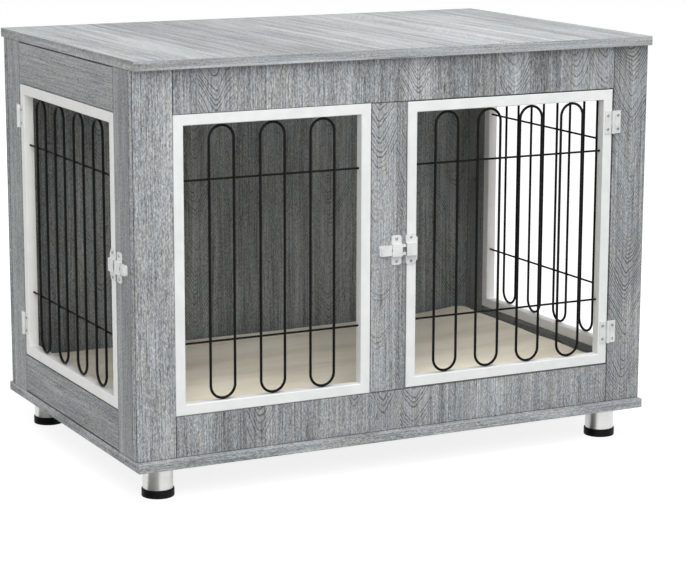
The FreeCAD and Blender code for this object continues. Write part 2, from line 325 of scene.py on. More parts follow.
plank_count = bench.sum("DIVIDE", across, given["Plank width"])
plank_number = bench.sum("FLOOR", plank_count)
plank_share = bench.centred(bench.sum("FRACT", plank_count))
plank_luck = bench.luck(plank_number, given["Board"])
luck = bench.add("ShaderNodeSeparateColor", {0: plank_luck["Color"]}).outputs

wander = bench.noise(spot, (0.0, 0.0, 0.008), 1.0)
wander = bench.weigh(-wander_reach / 2, (wander, wander_reach))
from_heart = bench.times(plank_share, given["Plank width"])
from_heart = bench.sum("ADD", from_heart, wander)
heart_depth = bench.ease(luck["Green"], 0.0, 1.0, *heart_depths)
bowl = bench.sum("ADD", bench.sum("POWER", from_heart, 2.0), bench.sum("POWER", heart_depth, 2.0))
taper = bench.ease(luck["Blue"], 0.0, 1.0, *tapers)
rings = bench.sum("SUBTRACT", bench.sum("SQRT", bowl), bench.times(along, taper))
sway = bench.noise(spot, (0.03, 0.03, 0.007))
ragged = bench.noise(spot, (0.42, 0.42, 0.05), 2.0, 0.6)
rings = bench.weigh(rings, (sway, sway_reach), (ragged, ragged_reach))
ring_count = bench.sum("DIVIDE", rings, ring_spacing)
ring_share = bench.sum("FRACT", ring_count)
ring_luck = bench.luck(bench.sum("FLOOR", ring_count), plank_number)["Value"]
ring_fade = bench.ease(ring_share, ring_edge, ring_end, 1.0, 0.0)
ring_dark = bench.times(ring_fade, bench.ease(ring_share, 0.0, ring_edge))
ring_dark = bench.times(ring_dark, bench.ease(ring_luck, 0.15, 0.9, 0.05, 1.0))
arch_chance = bench.ease(plank_luck["Value"], 0.5, 0.85)
arch_strength = bench.times(arch_chance, given["Arches"])
arch_strength = bench.sum("MAXIMUM", arch_strength, given["Arches at least"])
arch_fade = bench.ease(bench.noise(spot, (0.012, 0.004, 0.010), 1.0), 0.40, 0.58, 0.30, 1.0)
arch_strength = bench.times(arch_strength, arch_fade)
arches = bench.times(ring_dark, arch_strength)
print("with planks and arches:", len(grain.nodes), "nodes")

# %% Fibres, pores, flecks and the painted shade at a joint
line_half_width = 0.016
painted_joint_shade_reach = (0.3, 1.5)
dashes = bench.noise(spot, (0.62, 0.16, 0.24), 1.0, 0.6)
long_fibre = bench.noise(spot, (0.50, 0.14, 0.008), 1.0, 0.6)
pores = bench.ease(bench.noise(spot, (0.62, 0.16, 0.10), 0.0), 0.56, 0.70)
fleck_spot = bench.vector("ADD", spot, (41.0, 7.0, 23.0))
flecks = bench.ease(bench.noise(fleck_spot, (0.60, 0.16, 0.20), 0.0), 0.58, 0.72)
line_near = bench.sum("ABSOLUTE", bench.centred(bench.noise(spot, (0.11, 0.05, 0.003))))
line_fade = bench.ease(bench.noise(spot, (0.05, 0.05, 0.012), 1.0), 0.46, 0.62)
grain_lines = bench.times(bench.ease(line_near, 0.0, line_half_width, 1.0, 0.0), line_fade)
streaks = bench.noise(spot, (0.06, 0.06, 0.0014), 3.0, 0.65)
clouds = bench.noise(spot, (0.012, 0.012, 0.005), 1.0)
# Painted shade: a board darkens near its edges, fading out 1.5 mm in, as if the groove to the next board lay
# in shadow.
painted_joint_shade = bench.ease(given["Edge distance"], *painted_joint_shade_reach, 1.0, 0.0)
painted_joint_shade = bench.times(painted_joint_shade, given["Painted joint shade"])
print("with fibres and joints:", len(grain.nodes), "nodes")

# %% Weigh the patterns into one tone
arch_calm, dash_share = -0.45, 0.95
calm = bench.times(bench.weigh(1.0, (arch_strength, arch_calm)), given["Flecks"])
busy = bench.times(bench.centred(dashes), dash_share)
busy = bench.weigh(busy, (bench.centred(long_fibre), 0.75), (pores, -0.15), (flecks, 0.08))
# Shade shifts a whole board's tone: partly its own tone, partly painted light, as the top panel is made
# lighter and the back panel, facing the crate's dim inside, darker.
tone = bench.weigh(bench.sum("ADD", given["Shade"], 0.5), (busy, calm))
tone = bench.sum("ADD", tone, bench.times(bench.centred(streaks), given["Streaks"]))
tone = bench.weigh(tone, (bench.centred(clouds), 0.22), (bench.centred(luck["Red"]), 0.20),
                   (arches, -0.80), (grain_lines, -0.26), (painted_joint_shade, -0.5))
relief = bench.weigh(long_fibre, (pores, -0.5), (arches, -0.35))
warm_spot = bench.vector("ADD", spot, (5.0, 11.0, 17.0))
warmth = bench.noise(warm_spot, (0.10, 0.10, 0.014), 1.0)
bench.add("NodeGroupOutput", {"Tone": tone, "Warmth": warmth, "Relief": relief})
print("grain group:", len(grain.nodes), "nodes")

# %% [markdown]
# ## Boards
# Each board was cut from its own sheet, so no two carry on each other's pattern. On the front the
# grain stands upright, on the rails too. On the side rails and the panels above and below it runs
# from front to back. One material per board turns the grain the right way, sets how much of the
# arched figure it shows, and paints shade along the edge where it butts against the next board.

# %% Grey oak for one board
upright, upright_side, side_run, depth_run = "XYZ", "YXZ", "ZXY", "XZY"
figure_columns = ("Plank width", "Arches", "Arches at least", "Shift",
                  "Flecks", "Streaks", "Painted joint shade", "Shade")
tape_depths = (0.3, 0.6)
grain_depth = 0.2 * mm
wood_greys = (
    (0.00, (0.050, 0.053, 0.053)),
    (0.30, (0.173, 0.181, 0.184)),
    (0.52, (0.304, 0.317, 0.322)),
    (0.75, (0.476, 0.493, 0.502)),
    (1.00, (0.738, 0.756, 0.768)),
)
wood_tints = ((0.32, (1.015, 1.0, 0.965)), (0.68, (0.970, 1.0, 1.025)))


def edge_distance(bench, place, low, high):
    """How far a point on a board's face is from that face's nearest edge, in mm."""
    from_low = bench.vector("SUBTRACT", place, low)
    inside = bench.vector("MINIMUM", from_low, bench.vector("SUBTRACT", high, place))
    sides = bench.axes(inside)
    near = bench.sum("MINIMUM", sides["X"], sides["Y"])
    far = bench.sum("MAXIMUM", sides["X"], sides["Y"])
    return bench.sum("MAXIMUM", near, bench.sum("MINIMUM", far, sides["Z"]))


def edge_tape(bench, axes, turned, front, back):
    """Turns the grain to run along the tape that closes a panel's front and back edges."""
    tape = bench.point(axes["Z"], axes["Y"], axes["X"])
    from_front = bench.sum("SUBTRACT", axes["Y"], front)
    depth = bench.sum("MINIMUM", from_front, bench.sum("SUBTRACT", back, axes["Y"]))
    share = bench.ease(depth, *tape_depths, 1.0, 0.0)
    step = bench.vector("SUBTRACT", tape, turned)
    return bench.vector("MULTIPLY_ADD", step, bench.point(share, share, share), turned)


def grain_material(board, seed, directions, figure):
    """Grey oak for one board; directions name its axes across, through and along the grain."""
    material, bench, shader = new_material("grey_oak_" + board)
    place = bench.vector("MULTIPLY", bench.object_place(), (1 / mm,) * 3)
    axes = bench.axes(place)
    low, high = (tuple(side / mm for side in corner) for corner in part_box(board))
    across = bench.sum("ADD", axes[directions[0]], figure.pop("Shift"))
    turned = bench.point(across, axes[directions[1]], axes[directions[2]])
    if directions == depth_run:
        turned = edge_tape(bench, axes, turned, low[1], high[1])
    feeds = {"Place": turned, "Board": seed, "Edge distance": edge_distance(bench, place, low, high)}
    pattern = bench.add("ShaderNodeGroup", {**feeds, **figure}, node_tree=grain).outputs
    grey = bench.colours(pattern["Tone"], wood_greys)
    tint = bench.colours(pattern["Warmth"], wood_tints)
    bench.fill(shader, {
        "Base Color": bench.vector("MULTIPLY", grey, tint),
        "Roughness": bench.ease(pattern["Tone"], 0.1, 0.9, 0.54, 0.40),
    })
    bump(bench, shader, pattern["Relief"], grain_depth)
    return material


print("greys of the wood:", len(wood_greys))

# %% Dress the boards
# The last column, Shade, is partly each board's own tone and partly painted light: the top panel is lifted,
# and the back panel is darkened as painted shade of the crate's dim inside.
board_grain = {
    "front_left_stile": (upright, 120, 0, 0, 0, 1, 0.35, 1, -0.03),
    "front_centre_stile": (upright, 64, 0.5, 0.6, 68, 1, 0.35, 1, 0),
    "front_right_stile": (upright, 90, 1, 1, -409, 1, 0.35, 1, -0.02),
    "front_top_rail": (upright, 62, 0.8, 0, 0, 1, 0.4, 1, -0.03),
    "front_bottom_rail": (upright, 58, 0.8, 0, 11, 1, 0.4, 1, -0.04),
    "back_panel": (upright, 95, 0.6, 0, 0, 1, 0.7, 0, -0.08),
    "left_front_stile": (upright_side, 90, 0.2, 0, 0, 0.9, 0.35, 0.5, -0.02),
    "left_rear_stile": (upright_side, 90, 0.2, 0, 0, 0.9, 0.35, 0.5, -0.08),
    "right_front_stile": (upright_side, 90, 0.5, 0, 0, 0.9, 0.35, 1, 0),
    "right_rear_stile": (upright_side, 90, 0.5, 0, 0, 0.9, 0.35, 1, 0),
    "left_top_rail": (side_run, 80, 0.3, 0, 0, 0.8, 0.35, 0.5, 0),
    "left_bottom_rail": (side_run, 80, 0.3, 0, 0, 0.8, 0.35, 0.5, 0),
    "right_top_rail": (side_run, 80, 0.3, 0, 0, 0.8, 0.35, 1, 0),
    "right_bottom_rail": (side_run, 80, 0.3, 0, 0, 0.8, 0.35, 1, 0),
    "top_panel": (depth_run, 110, 0.35, 0, 0, 0.6, 0.9, 0, 0.02),
    "base_panel": (depth_run, 90, 0.35, 0, 0, 0.9, 0.4, 0, 0),
}
for seed, (board, (directions, *numbers)) in enumerate(board_grain.items(), start=1):
    figure = dict(zip(figure_columns, numbers))
    solids[board].data.materials[0] = grain_material(board, seed, directions, figure)
print("boards dressed:", len(board_grain))

# %% [markdown]
# ## White frames
# The four frames are square steel tube, welded at the mitres, ground flush and powder coated. The
# coat is slightly uneven, like fine orange peel, and a touch duller in its hollows. A plain white
# would look like paper, so a fine noise drives both the gloss and a very shallow relief. The two side
# frames stand in a dimmer light, so their coat is mixed brighter to look as white as the rest.

# %% Powder coat the frames
def coat_material(name, dark, pale, roughness, peel_size, peel_depth, gloss=0.5):
    """A sprayed coat: faint clouds in the colour, uneven gloss and an orange-peel relief."""
    material, bench, shader = new_material(name)
    place = bench.object_place()
    clouds = bench.noise(place, (38.0,) * 3)
    peel = bench.noise(place, (1.0 / peel_size,) * 3, 1.0)
    bench.fill(shader, {
        "Base Color": bench.colours(clouds, ((0.3, dark), (0.7, pale))),
        "Roughness": bench.ease(peel, 0.3, 0.7, *roughness),
        "Specular IOR Level": gloss,
    })
    bump(bench, shader, peel, peel_depth)
    return material


def coat_solids(names, front_coat, side_painted_light_coat):
    """Coats solids by the side of the crate that they are on; the side coat is paler, as painted light for
    the dimmer side.
    """
    for name in names:
        solids[name].data.materials[0] = side_painted_light_coat if name.startswith("side_") else front_coat
    print("solids coated:", len(names))


powder = ((0.34, 0.48), 1.1 * mm, 0.02 * mm)
white_coat = coat_material("white_powder_coat", (0.70, 0.71, 0.71), (0.76, 0.765, 0.76), *powder)
# Painted light: the side frames get a paler coat to make up for the dimmer light on that side.
painted_light_white_coat = coat_material("painted_light_powder_coat", (0.90, 0.90, 0.885), (0.95, 0.95, 0.935), *powder)
coat_solids([name for name in solids if name.endswith("_frame")], white_coat, painted_light_white_coat)

# %% [markdown]
# ## Recipes that repeat
# Loops, screws, locks and feet repeat, so each is made once as a Geometry Nodes recipe with named
# inputs. Arrays would do for straight rows, but a recipe also places pieces by points that face any
# way. The result is kept as a plain mesh, which any other tool can read.

# %% Write a recipe and run it once
def recipe(name, inputs):
    """A new geometry tree with named inputs; gives the tree, its bench and its input sockets."""
    tree = bpy.data.node_groups.new(name, "GeometryNodeTree")
    tree.interface.new_socket("Geometry", in_out="INPUT", socket_type="NodeSocketGeometry")
    for label, kind in inputs:
        tree.interface.new_socket(label, in_out="INPUT", socket_type="NodeSocket" + kind)
    tree.interface.new_socket("Geometry", in_out="OUTPUT", socket_type="NodeSocketGeometry")
    bench = Bench(tree)
    return tree, bench, bench.add("NodeGroupInput").outputs


def serve(bench, geometry, material):
    """Ends a recipe: real meshes in place of instances, and one finish."""
    real = bench.make("GeometryNodeRealizeInstances", {0: geometry})
    coated = bench.make("GeometryNodeSetMaterial", {"Geometry": real, "Material": material})
    bench.add("NodeGroupOutput", {0: coated})


def evaluated_mesh(piece):
    """The piece's mesh with its modifiers worked in."""
    return bpy.data.meshes.new_from_object(piece.evaluated_get(bpy.context.evaluated_depsgraph_get()))


def run_recipe(name, tree, values, start=None):
    """Runs a recipe on a start mesh and keeps the result as a plain mesh object."""
    carrier = new_object(name + "_carrier", start or bpy.data.meshes.new(name + "_start"))
    modifier = carrier.modifiers.new("recipe", "NODES")
    modifier.node_group = tree
    for item in tree.interface.items_tree:
        if item.in_out == "INPUT" and item.name in values:
            modifier[item.identifier] = values[item.name]
    mesh = evaluated_mesh(carrier)
    mesh.name = name
    bpy.data.objects.remove(carrier)
    return new_object(name, mesh)


print("recipe helpers ready")

# %% [markdown]
# ## Wire grilles
# Each grille is round steel wire: tall loops with half-round ends, resistance-welded to two cross
# wires behind them, and dipped in black. Bending a bevelled curve by hand would work for one. A
# recipe fillets a rectangle into a loop, repeats it along a line, and adds the cross wires and
# the small beads that the weld squeezes out, for all four grilles.

# %% The wire finish
dull_black = ((0.004,) * 3, (0.008,) * 3)
black_coat = coat_material("black_wire_coat", *dull_black, (0.42, 0.56), 0.9 * mm, 0.015 * mm, 0.09)
print("wire finish:", black_coat.name)

# %% The grille recipe: one loop
bend_steps, wire_sides = 14, 14
nearly_half = 0.4999
grille_sizes = ("Loop width", "Loop height", "Pitch", "Cross length", "Low cross", "High cross",
                "Cross setback", "Wire radius", "Cross radius", "Bead radius", "Turn")
grille_tree, bench, given = recipe("wire_grille", (
    ("Loops", "Int"), ("Place", "Vector"), ("Finish", "Material"),
    *((label, "Float") for label in grille_sizes),
))
box_curve = bench.make("GeometryNodeCurvePrimitiveQuadrilateral",
                       {"Width": given["Loop width"], "Height": given["Loop height"]})
end_radius = bench.times(given["Loop width"], nearly_half)
loop = bench.make("GeometryNodeFilletCurve", {
    "Curve": box_curve, "Radius": end_radius, "Count": bend_steps, "Limit Radius": True,
}, mode="POLY")
standing = bench.make("GeometryNodeTransform", {"Geometry": loop, "Rotation": (math.pi / 2, 0, 0)})
last_loop = bench.sum("SUBTRACT", given["Loops"], 1.0)
first_x = bench.times(bench.times(last_loop, given["Pitch"]), -0.5)
step = bench.point(given["Pitch"])


def row_of_points(x, y, z):
    """One point per loop, starting from x, at a depth y and a height z."""
    feeds = {"Count": given["Loops"], "Start Location": bench.point(x, y, z), "Offset": step}
    return bench.make("GeometryNodeMeshLine", feeds)


def drawn_wire(path, radius):
    """A round wire along a path."""
    section = bench.make("GeometryNodeCurvePrimitiveCircle", {"Resolution": wire_sides, "Radius": radius})
    feeds = {"Curve": path, "Profile Curve": section, "Fill Caps": True}
    return bench.make("GeometryNodeCurveToMesh", feeds)


loops = bench.make("GeometryNodeInstanceOnPoints",
                   {"Points": row_of_points(first_x, 0.0, 0.0), "Instance": standing})
loops = bench.make("GeometryNodeRealizeInstances", {0: loops})
print("one loop:", len(grille_tree.nodes), "nodes")

# %% The grille recipe: cross wires and weld beads
half_loop = bench.times(given["Loop width"], 0.5)
bead_depth = bench.times(given["Cross setback"], 0.5)
cross_paths, bead_spots = [], []
for level in ("Low cross", "High cross"):
    start, end = (bench.point(bench.times(given["Cross length"], share), given["Cross setback"], given[level])
                  for share in (-0.5, 0.5))
    cross_paths.append(bench.make("GeometryNodeCurvePrimitiveLine", {"Start": start, "End": end}))
    for side in (-1.0, 1.0):
        bead_x = bench.weigh(first_x, (half_loop, side))
        bead_spots.append(row_of_points(bead_x, bead_depth, given[level]))
ball = bench.make("GeometryNodeMeshIcoSphere", {"Radius": given["Bead radius"], "Subdivisions": 2})
beads = bench.make("GeometryNodeInstanceOnPoints", {"Points": bench.join(*bead_spots), "Instance": ball})
cross_wires = drawn_wire(bench.join(*cross_paths), given["Cross radius"])
whole = bench.join(drawn_wire(loops, given["Wire radius"]), cross_wires, beads)
placing = {"Geometry": whole, "Translation": given["Place"], "Rotation": bench.point(z=given["Turn"])}
placed = bench.make("GeometryNodeTransform", placing)
serve(bench, bench.make("GeometryNodeSetShadeSmooth", {0: placed}), given["Finish"])
print("grille recipe:", len(grille_tree.nodes), "nodes")

# %% Bend the four grilles
tube_size = 18 * mm
loop_width = 44 * mm
loop_inset = tube_size + 3.2 * mm
loop_depth = 7 * mm
cross_setback = 3.81 * mm
cross_shares = (0.237, 0.78)
wire_radius, cross_radius, bead_radius = 2.3 * mm, 1.8 * mm, 2.1 * mm
grilles = (
    ("front_window", 3, 0.0, "crate"),
    ("front_door", 4, 0.0, "front_door"),
    ("side_door", 4, -math.pi / 2, "side_door"),
    ("side_window", 4, math.pi / 2, "crate"),
)
for opening, loop_count, turn, body in grilles:
    low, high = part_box(opening + "_frame")
    middle = (low + high) / 2
    depth, width = sorted((high.x - low.x, high.y - low.y))
    height = high.z - low.z
    clear = width - 2 * tube_size
    pitch = loop_width + (clear - loop_count * loop_width) / (loop_count + 1)
    inward = Matrix.Rotation(turn, 3, "Z") @ Vector((0, 1, 0))
    grille = run_recipe(opening + "_wires", grille_tree, {
        "Loops": loop_count, "Loop width": loop_width, "Loop height": height - 2 * loop_inset,
        "Pitch": pitch, "Cross length": clear, "Cross setback": cross_setback,
        "Low cross": (cross_shares[0] - 0.5) * height, "High cross": (cross_shares[1] - 0.5) * height,
        "Wire radius": wire_radius, "Cross radius": cross_radius, "Bead radius": bead_radius,
        "Place": middle - inward * (depth / 2 - loop_depth), "Turn": turn, "Finish": black_coat,
    })
    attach(grille, body)
    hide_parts(opening + "_grille")
    print(grille.name, len(grille.data.polygons), "faces")

# %% [markdown]
# ## Hinges and latches
# The hinges and latches are pressed and folded from steel strip and coated in pale silver. Their
# solids have the true folds, so they stay, and only need a finish. The coat is thin, with a finer
# peel than the frames have, and the flat faces are faintly mottled. Those on the side are coated
# paler, as painted light for their dimmer side.

# %% Coat the hinges and latches
thin_coat = ((0.26, 0.40), 0.8 * mm, 0.012 * mm)
silver_coat = coat_material("pale_silver_coat", (0.59, 0.595, 0.595), (0.71, 0.715, 0.715), *thin_coat)
# Painted light: the hinges and latch on the side get a paler coat to make up for the dimmer light on that
# side.
painted_light_silver = coat_material("painted_light_silver_coat", (0.75, 0.755, 0.755), (0.87, 0.875, 0.875), *thin_coat)
metalwork = [name for name in solids if "_hinge_" in name or "_latch_" in name]
coat_solids(metalwork, silver_coat, painted_light_silver)

# %% [markdown]
# ## Screws
# Small round-headed screws hold every hinge leaf and strap. Each head is domed, with a cross recess
# for the driver. A boolean could cut the cross, but it leaves needless slivers on so small a shape.
# Here the head is built ring by ring round a cross-shaped rim, closed all over. The recipe sizes it
# and sets one on each point, facing as the point says and spun by a seeded chance, as screws end up.

# %% Shape one cross head
head_sides = 24
head_rings = ((1.0, 0.0), (1.0, 0.35), (0.93, 0.66), (0.80, 0.90), (0.70, 1.0))
arm_share, arm_half_width, recess_floor, recess_taper = 0.56, 0.16, 0.22, 0.85
head_sharp_angle = math.radians(32)


def skin(shape, rings):
    """Faces between rings of points that lie one above the other, and one under the lowest."""
    for lower, upper in zip(rings, rings[1:]):
        for i in range(len(lower)):
            shape.faces.new((lower[i - 1], lower[i], upper[i], upper[i - 1]))
    shape.faces.new(list(reversed(rings[0])))


def finished_mesh(name, shape, sharp_angle=None):
    """A plain mesh with its faces outward, smooth up to an angle if one is given."""
    bmesh.ops.recalc_face_normals(shape, faces=shape.faces)
    mesh = bpy.data.meshes.new(name)
    shape.to_mesh(mesh)
    shape.free()
    if sharp_angle:
        mesh.shade_smooth()
        mesh.set_sharp_from_angle(angle=sharp_angle)
    return mesh


def cross_head():
    """A domed head of radius and height 1, standing on its seat, with a cross recess."""
    shape = bmesh.new()
    angles = [2 * math.pi * i / head_sides for i in range(head_sides)]
    skin(shape, [[shape.verts.new((radius * math.cos(a), radius * math.sin(a), height)) for a in angles]
                 for radius, height in head_rings])
    arm, half = arm_share, arm_half_width
    quarter = [(arm, -half), (arm, half), (half, half)]
    turns = ((1, 0), (0, 1), (-1, 0), (0, -1))
    cross = [(x * c - y * s, x * s + y * c) for c, s in turns for x, y in quarter]
    rim = [shape.verts.new((x, y, 1.0)) for x, y in cross]
    sunk = [shape.verts.new((x * recess_taper, y * recess_taper, recess_floor)) for x, y in cross]
    for i in range(len(cross)):
        shape.faces.new((rim[i], rim[i - 1], sunk[i - 1], sunk[i]))
    shape.faces.new(sunk)
    open_edges = [edge for edge in shape.edges if len(edge.link_faces) == 1]
    bmesh.ops.triangle_fill(shape, edges=open_edges, use_beauty=True, normal=(0, 0, 1))
    return finished_mesh("cross_head", shape, head_sharp_angle)


head_pattern = new_object("cross_head", cross_head())
print("cross head:", len(head_pattern.data.polygons), "faces")

# %% The screw recipe
zinc = coat_material("zinc_screw", (0.28, 0.28, 0.275), (0.42, 0.42, 0.41), (0.28, 0.42), 0.5 * mm, 0.01 * mm)
zinc.node_tree.nodes["Principled BSDF"].inputs["Metallic"].default_value = 1.0
screw_tree, bench, given = recipe("cross_head_screws", (
    ("Head", "Object"), ("Head radius", "Float"), ("Head height", "Float"),
    ("Seed", "Int"), ("Finish", "Material"),
))
size = bench.point(given["Head radius"], given["Head radius"], given["Head height"])
head = bench.add("GeometryNodeObjectInfo", {"Object": given["Head"]}).outputs["Geometry"]
head = bench.make("GeometryNodeTransform", {"Geometry": head, "Scale": size})
facing = bench.make("GeometryNodeInputNamedAttribute", {"Name": "facing"}, data_type="FLOAT_VECTOR")
aimed = bench.make("FunctionNodeAlignRotationToVector", {"Vector": facing}, axis="Z")
spin_range = {"Min": (0, 0, 0), "Max": (0, 0, math.pi), "Seed": given["Seed"]}
chance = bench.make("FunctionNodeRandomValue", spin_range, data_type="FLOAT_VECTOR")
spin = {"Rotation": aimed, "Rotate By": chance}
spun = bench.make("FunctionNodeRotateRotation", spin, rotation_space="LOCAL")
setting = {"Points": given["Geometry"], "Instance": head, "Rotation": spun}
serve(bench, bench.make("GeometryNodeInstanceOnPoints", setting), given["Finish"])
print("screw recipe:", len(screw_tree.nodes), "nodes")

# %% Drive the screws
screw_radius, screw_height, screw_seed = 2.7 * mm, 1.3 * mm, 7
wood_front, wood_left, leaf_rise = -305 * mm, -489 * mm, 1.5 * mm
hinge_axes = {"front": 418.25 * mm, "side": 224.25 * mm}
hinge_levels = (201 * mm, 579 * mm)
leaf_offset, leaf_spread = 10.4 * mm, 12 * mm
strap_inset, catch_inset = 6 * mm, 10 * mm


def set_heads(name, spots, radius, height, seed):
    """Cross heads of one size on loose points, each facing its own way."""
    mesh = bpy.data.meshes.new(name + "_spots")
    mesh.from_pydata([place for place, way in spots], [], [])
    ways = mesh.attributes.new("facing", "FLOAT_VECTOR", "POINT")
    ways.data.foreach_set("vector", [part for place, way in spots for part in way])
    return run_recipe(name, screw_tree, {
        "Head": head_pattern, "Head radius": radius, "Head height": height, "Seed": seed, "Finish": zinc,
    }, mesh)


def screw_spot(side, run, height):
    """Where a screw sits on the front or the side, and the way that it faces."""
    if side == "front":
        return (run, wood_front - leaf_rise, height), (0.0, -1.0, 0.0)
    return (wood_left - leaf_rise, run, height), (-1.0, 0.0, 0.0)


screw_spots = {"crate": [], "front_door": [], "side_door": []}
for level in hinge_levels:
    for rise in (-leaf_spread, leaf_spread):
        for side, axis in hinge_axes.items():
            screw_spots["crate"].append(screw_spot(side, axis + leaf_offset, level + rise))
            screw_spots[side + "_door"].append(screw_spot(side, axis - leaf_offset, level + rise))
for strap in ("guide", "catch"):
    for side in hinge_axes:
        low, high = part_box(side + "_latch_" + strap)
        start, end = (low.x, high.x) if side == "front" else (low.y, high.y)
        owner = "crate" if strap == "guide" else side + "_door"
        run = (start + end) / 2 if strap == "guide" else start + catch_inset
        for height in (low.z + strap_inset, high.z - strap_inset):
            screw_spots[owner].append(screw_spot(side, run, height))
for body, spots in screw_spots.items():
    name = body + "_screws"
    screws = set_heads(name, spots, screw_radius, screw_height, screw_seed)
    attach(screws, body)
    print(name, len(spots), "screws,", len(screws.data.polygons), "faces")

# %% [markdown]
# ## Cam locks
# Furniture that ships flat is pulled together by cam locks: zinc drums let into the inside of the
# boards and turned with a screwdriver. Only the face of each drum shows, a wide flat head with a
# cross slot. The screw recipe already makes that from other sizes, so it is run once more.

# %% Set the cam locks
lock_radius, lock_height, lock_seed = 7.5 * mm, 1.2 * mm, 3
lock_x, lock_y = 473 * mm, 259.6 * mm
lock_levels = (118 * mm, 392 * mm, 666 * mm)
lock_spots = [((side * lock_x, end * lock_y, level), (-side, 0.0, 0.0))
              for side in (-1, 1) for end in (-1, 1) for level in lock_levels]
cam_locks = set_heads("cam_locks", lock_spots, lock_radius, lock_height, lock_seed)
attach(cam_locks, "crate")
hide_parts("cam_nuts")
bpy.data.objects.remove(head_pattern)
print("cam locks:", len(lock_spots), "with", len(cam_locks.data.polygons), "faces")

# %% [markdown]
# ## Feet
# Each foot is a short steel tube with a satin brushed finish, standing in a black rubber ferrule.
# Turned shapes come from a profile spun round an axis. The brushing runs round the tube, so its noise
# changes fast up the tube and slowly round it.

# %% Satin steel and rubber
def satin_steel():
    """Bright steel, brushed round the upright axis, with faint smears in its gloss."""
    material, bench, shader = new_material("satin_steel")
    place = bench.object_place()
    brushed = bench.noise(place, (9.0, 9.0, 2600.0), 3.0, 0.6)
    smears = bench.noise(place, (60.0, 60.0, 30.0))
    normal = bench.add("ShaderNodeNewGeometry").outputs["Normal"]
    bench.fill(shader, {
        "Base Color": bench.colours(brushed, ((0.25, (0.58, 0.58, 0.575)), (0.75, (0.73, 0.73, 0.72)))),
        "Roughness": bench.ease(smears, 0.3, 0.7, 0.33, 0.40),
        "Metallic": 1.0,
        "Anisotropic": 0.5,
        "Anisotropic Rotation": 0.25,
        "Tangent": bench.vector("CROSS_PRODUCT", normal, (0.0, 0.0, 1.0)),
    })
    bump(bench, shader, brushed, 0.004 * mm)
    return material


steel = satin_steel()
rubber = coat_material("black_rubber", *dull_black, (0.45, 0.62), 1.4 * mm, 0.03 * mm, 0.12)
print("foot finishes:", steel.name, rubber.name)

# %% Draw the outlines of a foot
def rounded(radius, ease, height, start, end, steps=6):
    """A rounded edge from one angle to another about a centre at this height."""
    angles = [math.radians(start + (end - start) * i / steps) for i in range(steps + 1)]
    return [(radius - ease + ease * math.cos(a), height + ease * math.sin(a)) for a in angles]


foot_x, foot_y, foot_height = 435 * mm, 262 * mm, 56 * mm
sleeve_radius, sleeve_wall, sleeve_foot, sleeve_lid = 25.5 * mm, 1.5 * mm, 5 * mm, 3 * mm
sleeve_top_ease, sleeve_foot_ease = 0.8 * mm, 0.6 * mm
pad_radius, pad_height, pad_foot_ease, pad_top_ease = 27.5 * mm, 14 * mm, 1.2 * mm, 1.8 * mm
sleeve_bore, lid_under = sleeve_radius - sleeve_wall, foot_height - sleeve_lid
pad_hold, pad_floor = sleeve_radius + 0.05 * mm, sleeve_foot - 0.1 * mm
sleeve_outline = (
    rounded(sleeve_radius, sleeve_top_ease, foot_height - sleeve_top_ease, 90, 0)
    + rounded(sleeve_radius, sleeve_foot_ease, sleeve_foot + sleeve_foot_ease, 0, -90)
    + [(sleeve_bore, sleeve_foot), (sleeve_bore, lid_under), (0.0, lid_under), (0.0, foot_height)]
)
pad_outline = (
    [(0.0, pad_floor), (0.0, 0.0)]
    + rounded(pad_radius, pad_foot_ease, pad_foot_ease, -90, 0)
    + rounded(pad_radius, pad_top_ease, pad_height - pad_top_ease, 0, 80)
    + [(pad_hold, pad_height), (pad_hold, pad_floor)]
)
print("outline points:", len(sleeve_outline), "and", len(pad_outline))

# %% Turn one foot and set four
turned_sides = 72
turned_sharp_angle = math.radians(38)
weld_distance = 1e-6


def turned_mesh(name, profile):
    """Spins a closed outline of (radius, height) pairs round the upright axis."""
    shape = bmesh.new()
    ring = [shape.verts.new((radius, 0.0, height)) for radius, height in profile]
    edges = [shape.edges.new((ring[i - 1], ring[i])) for i in range(len(ring))]
    bmesh.ops.spin(shape, geom=ring + edges, cent=(0, 0, 0), axis=(0, 0, 1),
                   angle=2 * math.pi, steps=turned_sides)
    bmesh.ops.remove_doubles(shape, verts=shape.verts, dist=weld_distance)
    return finished_mesh(name, shape, turned_sharp_angle)


feet_tree, bench, given = recipe("four_feet", (("Foot", "Object"), ("Finish", "Material")))
foot = bench.add("GeometryNodeObjectInfo", {"Object": given["Foot"]}).outputs["Geometry"]
feet = bench.make("GeometryNodeInstanceOnPoints", {"Points": given["Geometry"], "Instance": foot})
serve(bench, feet, given["Finish"])

foot_spots = bpy.data.meshes.new("foot_spots")
foot_spots.from_pydata([(x, y, 0.0) for x in (-foot_x, foot_x) for y in (-foot_y, foot_y)], [], [])
for name, outline, finish, node, slot in (
    ("steel_feet", sleeve_outline, steel, "foot_sleeves", "foot_sleeve"),
    ("rubber_feet", pad_outline, rubber, "foot_pads", "foot_pad"),
):
    pattern = new_object(name + "_pattern", turned_mesh(name + "_pattern", outline))
    piece = run_recipe(name, feet_tree, {"Foot": pattern, "Finish": finish}, foot_spots.copy())
    bpy.data.objects.remove(pattern)
    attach(piece, "crate")
    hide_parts(node)
    print(name, len(piece.data.polygons), "faces")

# %% [markdown]
# ### Dark cards by the feet
# Bright steel in an all-white studio looks like white paper. A photographer lays a dark card near it,
# so that a round tube shows one dark band between two bright ones. Three feet have their own card on
# the floor here. Only reflections show the cards, which cast no shadow.

